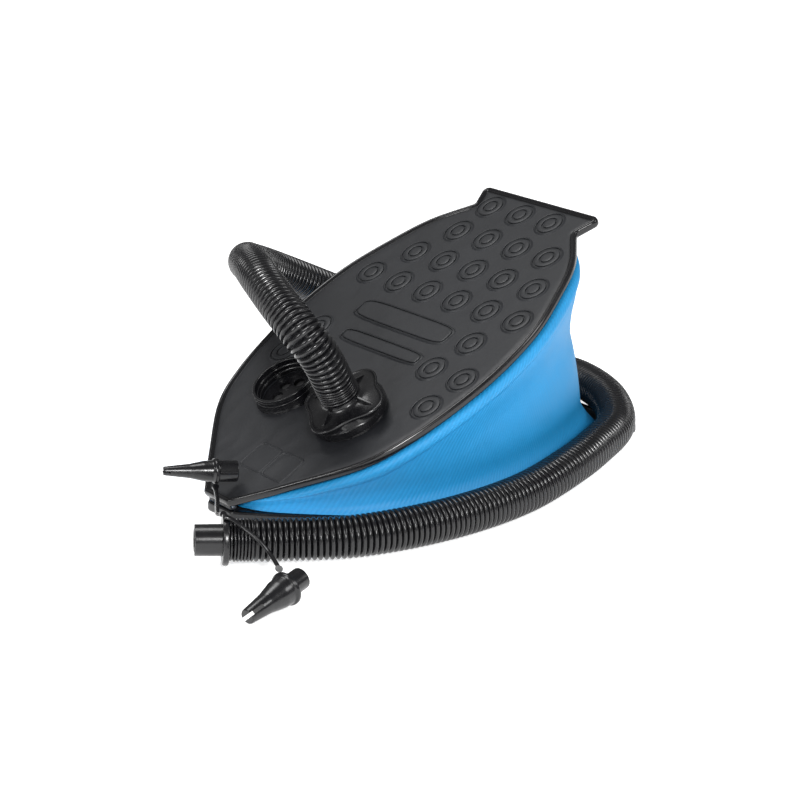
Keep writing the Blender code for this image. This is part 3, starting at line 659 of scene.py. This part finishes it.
# how far each row of treads sits off the middle line, from the tail to the toe
TREAD_SHIFTS = (0.0052, 0.0092, -0.0044, 0.0110, -0.0020, 0.0057, 0.0098)
TREAD_MARGIN = 0.0135
TREAD_TO_PORT = 0.0375
BARS = (((0.1600, 0.0040), (0.0088, 0.0430)), ((0.1375, 0.0010), (0.0058, 0.0370)))
PANEL_FRAMES = (((0.0360, -0.0010), (0.0100, 0.0100)), ((0.0360, -0.0222), (0.0100, 0.0100)))


def pad_rows(centre, half, power, profile, around=64):
    """A pad's rows on the tread: a superellipse drawn in by each step of its profile."""
    rows = []
    for inset, height in profile:
        row = []
        for turn in np.linspace(0, 2 * math.pi, around, endpoint=False):
            u, v = (
                middle + (size - inset * MM) * math.copysign(abs(across) ** (2 / power), across)
                for middle, size, across in zip(centre, half, (math.cos(turn), math.sin(turn)))
            )
            row.append((u + TOE_U, v, tread_height(u + TOE_U, v) + height * MM))
        rows.append(row)
    return rows


def in_bars(s, v):
    """Whether a tread would run into one of the plain bars."""
    return any(abs(s - at_s) < half_s + 0.011 and abs(v - at_v) < half_v + 0.010
               for (at_s, at_v), (half_s, half_v) in BARS)


def make_grips(material):
    """The generic grip pattern: rows of oval ring treads, two plain bars and two empty frames."""
    outline = leaf_outline(PLATE_PIECES)
    half = outline[:PLATE_PIECES + 1]
    pads = []
    for row, shift in enumerate(TREAD_SHIFTS):
        s = LAST_TREAD - row * TREAD_PITCH[0]
        reach = np.interp(s, half[:, 0], half[:, 1]) - TREAD_MARGIN
        for step in range(-4, 5):
            v = shift + step * TREAD_PITCH[1]
            to_port = min((Vector((s + TOE_U, v, 0)) - port).length for port in (INTAKE, OUTLET))
            if abs(v) > reach or to_port < TREAD_TO_PORT or in_bars(s, v):
                continue
            pads.append(pad_rows((s, v), TREAD_HALF, 2, PAD_PROFILE))
    for centre, size in BARS:
        pads.append(pad_rows(centre, size, 5, BAR_PROFILE, 96))
    pieces = [loft("pad", rows, capped=True) for rows in pads]
    for centre, size in PANEL_FRAMES:
        pieces.append(loft("frame", pad_rows(centre, size, 8, FRAME_PROFILE, 96), sharp=60))
    grips = placed(joined("tread_grips", pieces), PEDAL)
    finished(grips, material, "pedal", "plate_plastic")


# ---- the bellows -----------------------------------------------------------------------------------
# the hem under the pedal, from its edge down: (distance down, share of the wall at most, bulge out)
HEM = [
    (0.0, 0.000, -2.5), (0.2, 0.010, -0.2), (0.8, 0.035, 2.4), (1.8, 0.075, 3.9), (3.2, 0.12, 4.7),
    (4.8, 0.17, 5.0), (6.2, 0.21, 4.8), (7.4, 0.25, 4.2), (8.2, 0.28, 3.3), (8.8, 0.30, 2.7),
    (9.6, 0.33, 2.5), (11.0, 0.37, 2.5), (14.0, 0.43, 2.2), (19.0, 0.50, 1.4), (26.0, 0.58, 0.5),
]
WALL_SHARES = 26
BELLOWS_PIECES = 220
CLOTH = 0.0007
# the weave is laid round this point, as if on a wall of this radius
WEAVE_MIDDLE = Vector((0.02, 0, 0))
WEAVE_RADIUS = 0.105


def chamber_outline(count):
    """The footprint of the bellows, measured from the toe."""
    return mirrored(smooth_path(CHAMBER_SIDE, 16), count)


def waist(share):
    """How far the bellows is drawn in at a share of its height, as a part of its deepest waist."""
    flare = min(max((share - 0.015) / 0.20, 0.0), 1.0)
    crown = min(max((1.0 - share) / 0.42, 0.0), 1.0)
    return math.sin(flare * math.pi / 2) * (crown * crown * (3 - 2 * crown))


def bellows_row(outline, normals, shares, bulge, wall):
    """One row of the wall: a share of the way up at each point, with its bulge out."""
    low = BASE_TOP + GAP - HINGE.z
    high = PEDAL_UNDER - GAP
    row = []
    for point, normal, share in zip(outline, normals, shares):
        u = point[0] + TOE_U
        draw = waist(share) * BELLOWS_WAIST * u * math.sin(OPEN_ANGLE)
        ease = min(1.0, u / 0.030)
        along, across = point + normal * (bulge * MM * ease - draw - wall)
        along += TOE_U
        angle = OPEN_ANGLE * share
        height = low + (high - low) * share
        row.append((
            HINGE.x + along * math.cos(angle) - height * math.sin(angle),
            across,
            HINGE.z + along * math.sin(angle) + height * math.cos(angle),
        ))
    return row


def make_bellows(material):
    """The blue fabric wall, hemmed out round the pedal's edge and drawn in at its waist."""
    outline = chamber_outline(BELLOWS_PIECES)
    normals = outward(outline)
    tall = np.maximum((outline[:, 0] + TOE_U) * OPEN_ANGLE, 0.002)
    levels = []
    for down, most, bulge in HEM:
        levels.append((1 - np.minimum(down * MM / tall, most), bulge))
    last = levels[-1][0]
    for step in range(1, WALL_SHARES + 1):
        left = 1 - step / WALL_SHARES
        levels.append((last * left, HEM[-1][2] * max(0.0, 1 - step / 6)))
    rows = [bellows_row(outline, normals, shares, bulge, 0.0) for shares, bulge in levels]
    rows += [bellows_row(outline, normals, shares, bulge, CLOTH) for shares, bulge in reversed(levels)]
    bellows = loft("bellows_fabric", rows, ring=True, sharp=60)
    cloth_coordinates(bellows.data)
    finished(bellows, material, None, "bellows_fabric", "bellows")
    bend_by_angle(bellows)


def cloth_coordinates(mesh):
    """UVs in metres: roughly the distance round the chamber, and the height."""
    layer = mesh.uv_layers.new(name="cloth")
    for polygon in mesh.polygons:
        centre = polygon.center - WEAVE_MIDDLE
        side = 1 if centre.y > 0 else -1
        for loop in polygon.loop_indices:
            place = mesh.vertices[mesh.loops[loop].vertex_index].co - WEAVE_MIDDLE
            turn = abs(math.atan2(place.y, -place.x))
            layer.data[loop].uv = (side * turn * WEAVE_RADIUS, place.z)


def bend_by_angle(piece):
    """Bake a piece's placement into its mesh."""
    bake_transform(piece)


# ---- the return spring -----------------------------------------------------------------------------
SPRING_U = 0.150
SPRING_RADIUS = 0.032
SPRING_WIRE = 0.0017
SPRING_TURNS = 5
SEAT_FLANGE = 0.0020
# how much of a turn lies flat at each end
SPRING_FLAT_TURN = 0.8


def make_spring(material):
    """The coil spring, bent along the pedal's arc, with most of a turn flat at each end."""
    low = BASE_FLOOR + 2 * GAP + SEAT_FLANGE + SPRING_WIRE - HINGE.z
    high = PEDAL_UNDER - 2 * GAP - SEAT_FLANGE - SPRING_WIRE
    dead = SPRING_FLAT_TURN / SPRING_TURNS
    path = []
    for share in np.linspace(0, 1, SPRING_TURNS * 40 + 1):
        rise = min(max((share - dead) / (1 - 2 * dead), 0.0), 1.0)
        angle = OPEN_ANGLE * rise
        height = low + (high - low) * rise
        turn = 2 * math.pi * SPRING_TURNS * share
        radial = SPRING_U + SPRING_RADIUS * math.cos(turn)
        path.append((
            HINGE.x + radial * math.cos(angle) - height * math.sin(angle),
            SPRING_RADIUS * math.sin(turn),
            HINGE.z + radial * math.sin(angle) + height * math.cos(angle),
        ))
    spring = tube("spring_wire", np.array(path), [SPRING_WIRE] * len(path), 12)
    finished(spring, material, None, "spring_steel", "return_spring")
    bend_by_angle(spring)


# ---- the ports and the connector -------------------------------------------------------------------
NECK_BOTTOM = TREAD_LEVEL - 0.0006
THREAD_TURNS = 1.6
THREAD_START = 0.0090
THREAD_PITCH = 0.0024


def make_necks(material):
    """The two port collars, with rounded lips, steps inside and a coarse thread outside."""
    profile = rounded([
        (NECK_INNER - 0.0005, NECK_BOTTOM), (NECK_INNER - 0.0005, 0.0080), (NECK_INNER, 0.0083),
        (NECK_INNER, 0.0108), (NECK_INNER + 0.0005, 0.0111), (NECK_INNER + 0.0005, NECK_TOP),
        (NECK_OUTER - 0.0002, NECK_TOP), (NECK_OUTER, 0.0105), (NECK_OUTER + 0.0005, 0.0074),
        (NECK_OUTER + 0.0013, NECK_BOTTOM),
    ], 0.0005, True)
    for name, port, node in (
        ("intake_collar", INTAKE, "intake_neck"),
        ("outlet_collar", OUTLET, "outlet_neck"),
    ):
        collar = turned(name, profile, Matrix.Translation(port), 128)
        turns = np.linspace(0, THREAD_TURNS * 2 * math.pi, 160)
        radius = NECK_OUTER - 0.0002
        rise = THREAD_START + THREAD_PITCH * turns / (2 * math.pi)
        path = np.stack([radius * np.cos(turns), radius * np.sin(turns), rise], axis=1)
        fade = np.minimum(1, np.minimum(turns, turns[::-1]) / 0.5)
        thread = placed(tube("thread", path, 0.00012 + 0.00030 * fade, 8), Matrix.Translation(port))
        whole = placed(joined(name, [collar, thread]), PEDAL)
        finished(whole, material, "pedal", "plate_plastic", node)


# the connector from its bore over the hub, the flange and the skirt: (radius, lobes' swell, height)
CONNECTOR_PROFILE = [
    (8.5, 0.0, 16.2), (8.5, 0.0, 21.8), (8.8, 0.0, 22.15), (11.0, 0.0, 22.2), (11.4, 0.0, 22.0),
    (11.5, 0.0, 21.5), (11.6, 0.0, 20.9), (12.1, 0.0, 20.1), (13.2, 0.0, 19.3), (15.0, 0.2, 18.6),
    (17.2, 0.6, 18.1), (19.6, 1.2, 17.8), (21.4, 2.0, 17.65), (22.5, 2.6, 17.65), (23.0, 2.8, 17.85),
    (23.5, 3.0, 18.0), (24.0, 3.05, 17.9), (24.3, 3.1, 17.5), (24.4, 3.1, 16.9), (24.2, 3.0, 16.3),
    (23.7, 2.7, 15.9), (23.4, 2.0, 15.5), (23.2, 1.2, 14.8), (23.15, 0.5, 13.8), (23.3, 0.2, 12.8),
    (23.55, 0.0, 12.5), (23.6, 0.0, 12.0), (23.5, 0.0, 9.0), (23.4, 0.0, 8.2), (23.0, 0.0, 7.85),
    (21.2, 0.0, 7.8), (20.8, 0.0, 8.1), (20.8, 0.0, 15.9), (20.2, 0.0, 16.1),
]
GUSSET = [(10.6, 17.6), (21.6, 17.2), (21.8, 18.1), (12.6, 21.9), (10.6, 21.9)]
GUSSET_HALF = 0.0008


def make_connector(material):
    """The screw-on connector: a four-lobed cap with a conical hub, four gussets and a skirt."""
    angles = np.linspace(0, 2 * math.pi, 160, endpoint=False)
    rows = []
    for radius, swell, height in CONNECTOR_PROFILE:
        reach = (radius + swell * np.cos(4 * (angles - LOBE_TURN))) * MM
        rows.append(np.stack([
            reach * np.cos(angles), reach * np.sin(angles), np.full(len(angles), height * MM)
        ], axis=1))
    pieces = [loft("cap", rows, ring=True)]
    outline = np.array(rounded(GUSSET, 0.9, True)) * MM
    for index in range(4):
        rows = []
        for inset, across in ((0.9, -1.0), (0.0, -0.75), (0.0, 0.75), (0.9, 1.0)):
            middle = outline.mean(axis=0)
            drawn = outline + (middle - outline) * (inset * 0.045)
            thick = np.full(len(drawn), across * GUSSET_HALF)
            rows.append(np.column_stack([drawn[:, 0], thick, drawn[:, 1]]))
        rib = loft("gusset", rows, capped=True)
        pieces.append(placed(rib, Matrix.Rotation(LOBE_TURN + math.pi / 2 * index, 4, "Z")))
    cap = placed(joined("connector_cap", pieces), PEDAL @ Matrix.Translation(OUTLET))
    finished(cap, material, "connector", "hose_plastic", "hose_connector")


# ---- the hose --------------------------------------------------------------------------------------
RIDGE_PITCH = 0.00315
TIGHT_PITCH = 0.0019
TIGHT_RIDGES = 6
RIDGE_DEPTH = 0.0019
# one ridge: (share of its pitch, share of the groove's depth that is taken away)
RIDGE_SHAPE = [
    (0.0, 1.0), (0.09, 0.62), (0.22, 0.22), (0.38, 0.03), (0.62, 0.03), (0.78, 0.22), (0.91, 0.62),
]
HOSE_AROUND = 48


def hose_line():
    """The centre line's points, close together, and their distances from the connector."""
    start = PEDAL @ Vector((OUTLET.x, OUTLET.y, STUB_TOP + GAP))
    lead = start + OUTLET_AXIS.normalized() * HOSE_LEAD
    route = [start, lead] + [Vector((x + TOE_X, y, z)) for x, y, z in HOSE_ROUTE]
    path = np.concatenate([[start], smooth_path(route, HOSE_STEPS)[HOSE_STEPS:]])
    return path, reach_along(path)


def hose_rings(length):
    """The distance and radius of each ring: one ridge after another, tighter at both ends."""
    pitches = [TIGHT_PITCH] * TIGHT_RIDGES
    free = length - 2 * TIGHT_PITCH * TIGHT_RIDGES
    count = round(free / RIDGE_PITCH)
    pitches += [free / count] * count + [TIGHT_PITCH] * TIGHT_RIDGES
    places = []
    radii = []
    start = 0.0
    for pitch in pitches:
        depth = RIDGE_DEPTH * min(1.0, pitch / RIDGE_PITCH + 0.05)
        for share, taken in RIDGE_SHAPE:
            places.append(start + share * pitch)
            radii.append(HOSE_RADIUS - depth * taken)
        start += pitch
    places.append(length)
    radii.append(HOSE_RADIUS - RIDGE_DEPTH)
    return np.array(places), np.array(radii)


def make_hose(material):
    """The ribbed hose, from the connector over the pedal and round the pump to its free end."""
    path, reach = hose_line()
    places, radii = hose_rings(reach[-1])
    hose = tube("air_hose", at(path, reach, places), radii, HOSE_AROUND)
    finished(hose, material, None, "hose_plastic", "hose_upper", "hose_lower")
    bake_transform(hose)


def end_place():
    """The matrix of the hose's free end, with Z pointing out of it."""
    path, _ = hose_line()
    end = Vector(path[-1])
    along = (end - Vector(path[-HOSE_STEPS])).normalized()
    return aimed(end + along * GAP, end + along)


def make_hose_end(hose_material):
    """The smooth end tube with its shoulder, and the tether's ring round it."""
    place = end_place()
    profile = rounded([
        (HOSE_END_BORE, 0), (HOSE_END_BORE, HOSE_END_LENGTH), (HOSE_END_RADIUS, HOSE_END_LENGTH),
        (HOSE_END_RADIUS, 0.0015), (0.0113, 0.0015), (0.0113, 0),
    ], 0.0006, True)
    tip = turned("hose_outlet", profile, place, 72)
    finished(tip, hose_material, "base", "hose_plastic", "hose_end")
    ring_profile = rounded([
        (0.0090, 0.0018), (0.0090, 0.0053), (0.0134, 0.0053), (TETHER_RING_OUTER, 0.0046),
        (TETHER_RING_OUTER, 0.0024), (0.0134, 0.0018),
    ], 0.0005, True)
    ring = turned("tether_collar", ring_profile, place, 72)
    finished(ring, hose_material, "base", "hose_plastic", "tether_ring")
    return [tip, ring]


# ---- the nozzles and their straps ------------------------------------------------------------------
NOZZLE_SOCKET_DEPTH = 0.0100
FORK_TURN = math.radians(40)
# a strap is drawn flattened and a little over its cord's radius, and it thickens at both ends
STRAP_SWELL = 1.45
STRAP_ROOT_SWELL = 0.95
STRAP_ROOT_SHARE = 0.16
STRAP_FLATNESS = 0.85


def nozzle_profile(length, flange, tip):
    """A nozzle from its tip down the outside to its socket's mouth, and back up the socket."""
    low = NOZZLE_SOCKET_DEPTH + 0.0012
    high = low + 0.0022
    body = flange - 0.0012
    outside = [
        (0.0008, length), (tip, length), (tip + 0.0016, length - 0.015), (body - 0.0004, high + 0.006),
        (body, high + 0.0008), (flange, high), (flange, low), (0.0061, low),
        (0.0061, 0), (0.0048, 0), (0.0048, NOZZLE_SOCKET_DEPTH), (0.0008, NOZZLE_SOCKET_DEPTH),
    ]
    return [(0, length)] + rounded(outside, 0.0008) + [(0, NOZZLE_SOCKET_DEPTH)]


def make_nozzle(name, node, sizes, slot_length, slot_turn, material):
    """A push-in nozzle with a lip on its flange and a slot through its tip."""
    mouth, tip, flange, tip_radius = sizes
    length = (tip - mouth).length
    nozzle = turned(name, nozzle_profile(length, flange, tip_radius), Matrix.Identity(4), 64, ring=False)
    half = tip_radius * 0.24
    cube = bmesh.new()
    bmesh.ops.create_cube(cube, size=1)
    for vertex in cube.verts:
        x, y, z = vertex.co
        vertex.co = (x * 0.03, y * 2 * half, length - slot_length / 2 + z * (slot_length + 0.004) + 0.002)
    mesh = bpy.data.meshes.new("slot")
    cube.to_mesh(mesh)
    cube.free()
    cut(nozzle, [placed(add_piece("slot", mesh), Matrix.Rotation(slot_turn, 4, "Z"))])
    nozzle.data.shade_smooth()
    nozzle.data.set_sharp_from_angle(angle=math.radians(SHARP_EDGE))
    placed(nozzle, aimed(mouth, tip))
    return finished(nozzle, material, "base", "hose_plastic", node)


def make_strap(name, node, route, material):
    """A thin tether strap from the hose's ring to a nozzle."""
    path = smooth_path([Vector((x + TOE_X, y, z)) for x, y, z in route], 12)
    left = np.linspace(1, 0, len(path))
    from_end = np.minimum(left, 1 - left)
    root = np.clip((STRAP_ROOT_SHARE - from_end) / STRAP_ROOT_SHARE, 0, 1) ** 2
    radii = STRAP_RADIUS * (STRAP_SWELL + STRAP_ROOT_SWELL * root)
    strap = tube(name, path, radii, 16, flat=STRAP_FLATNESS)
    finished(strap, material, "base", "hose_plastic", node)


# ---- the setting -----------------------------------------------------------------------------------
FLOOR_GLOW = 0.66
FLOOR_HALF_SIZE = 6.0
FLOOR_DROP = 0.0002
ROOM_LIGHT = 0.24
# each soft light: (place, size, power)
LIGHTS = {
    "overhead": ((-0.2, 0.5, 1.7), 0.9, 15),
    "left": ((-1.5, -0.1, 0.9), 0.5, 9),
    "right": ((0.9, -1.2, 1.0), 0.6, 9),
    "front": ((-0.62, -1.10, 0.62), 0.22, 11),
}


def make_floor():
    """A plain pale floor, flat and wide, that glows a little so that it fills the view evenly."""
    nodes = Nodes("pale_floor")
    nodes.shader.inputs["Base Color"].default_value = (0.97, 0.97, 0.97, 1)
    nodes.shader.inputs["Roughness"].default_value = 0.9
    nodes.shader.inputs["Emission Color"].default_value = (1, 1, 1, 1)
    nodes.shader.inputs["Emission Strength"].default_value = FLOOR_GLOW
    mesh = bpy.data.meshes.new("floor")
    signs = ((-1, -1), (1, -1), (1, 1), (-1, 1))
    corners = [(FLOOR_HALF_SIZE * x, FLOOR_HALF_SIZE * y, 0) for x, y in signs]
    mesh.from_pydata(corners, [], [(0, 1, 2, 3)])
    floor = bpy.data.objects.new("floor", mesh)
    bpy.context.scene.collection.objects.link(floor)
    mesh.materials.append(nodes.material)
    floor.location.z = -FLOOR_DROP


def make_light(name, place, size, power, target=(0, 0, 0.05)):
    """A soft area light aimed at the pump."""
    data = bpy.data.lights.new(name, "AREA")
    data.shape = "DISK"
    data.size = size
    data.energy = power
    light = bpy.data.objects.new(name, data)
    bpy.context.scene.collection.objects.link(light)
    light.matrix_world = aimed(place, Vector(place) * 2 - Vector(target))


def make_lights():
    """A pale room, a broad light above, one at each side and a small one in front for the highlights."""
    world = bpy.data.worlds.new("studio")
    world.use_nodes = True
    background = world.node_tree.nodes["Background"]
    background.inputs["Color"].default_value = (1, 1, 1, 1)
    background.inputs["Strength"].default_value = ROOM_LIGHT
    bpy.context.scene.world = world
    bpy.context.scene.view_settings.view_transform = "Standard"
    for name, (place, size, power) in LIGHTS.items():
        make_light(name, place, size, power)


def main():
    """Build every piece."""
    make_camera()
    plate = moulded_plastic("charcoal_plastic", PLATE_COLOUR, 0.48)
    rim = moulded_plastic("rim_black", RIM_COLOUR, 0.22, 0.000004, 0.00005)
    gloss = moulded_plastic("hose_black", HOSE_COLOUR, 0.24, 0.000006, 0.00012)
    rubber = moulded_plastic("seal_rubber", RUBBER_COLOUR, 0.70, 0.00005)
    fabric = twill_fabric("azure_twill", FABRIC_COLOUR)
    steel = brushed_steel("spring_steel")

    end_pieces = make_hose_end(gloss)
    make_hose(gloss)
    tapered = make_nozzle("tapered_tip", "nozzle_tapered", TAPERED_NOZZLE, 0.004, 0.0, gloss)
    forked = make_nozzle("forked_tip", "nozzle_forked", FORKED_NOZZLE, 0.009, FORK_TURN, gloss)
    make_strap("strap_to_tapered", "tether_strap_upper", STRAP_ROUTES["upper"], gloss)
    make_strap("strap_to_forked", "tether_strap_lower", STRAP_ROUTES["lower"], gloss)

    make_top_plate(plate, rim)
    make_base_plate(plate, rim)
    make_knuckles(plate)
    make_grips(plate)
    make_bellows(fabric)
    make_spring(steel)
    make_necks(rim)
    make_connector(gloss)
    kept = {
        "hinge_pin": steel, "spring_seat_lower": plate, "spring_seat_upper": plate,
        "seam_band_lower": fabric, "seam_band_upper": fabric, "intake_valve_seat": rim,
        "outlet_valve_seat": rim, "intake_flap": rubber, "outlet_flap": rubber, "connector_gasket": rubber,
    }
    for name, material in kept.items():
        for slot in frame["nodes"][name].material_slots:
            slot.material = material
    make_floor()
    make_lights()


main()
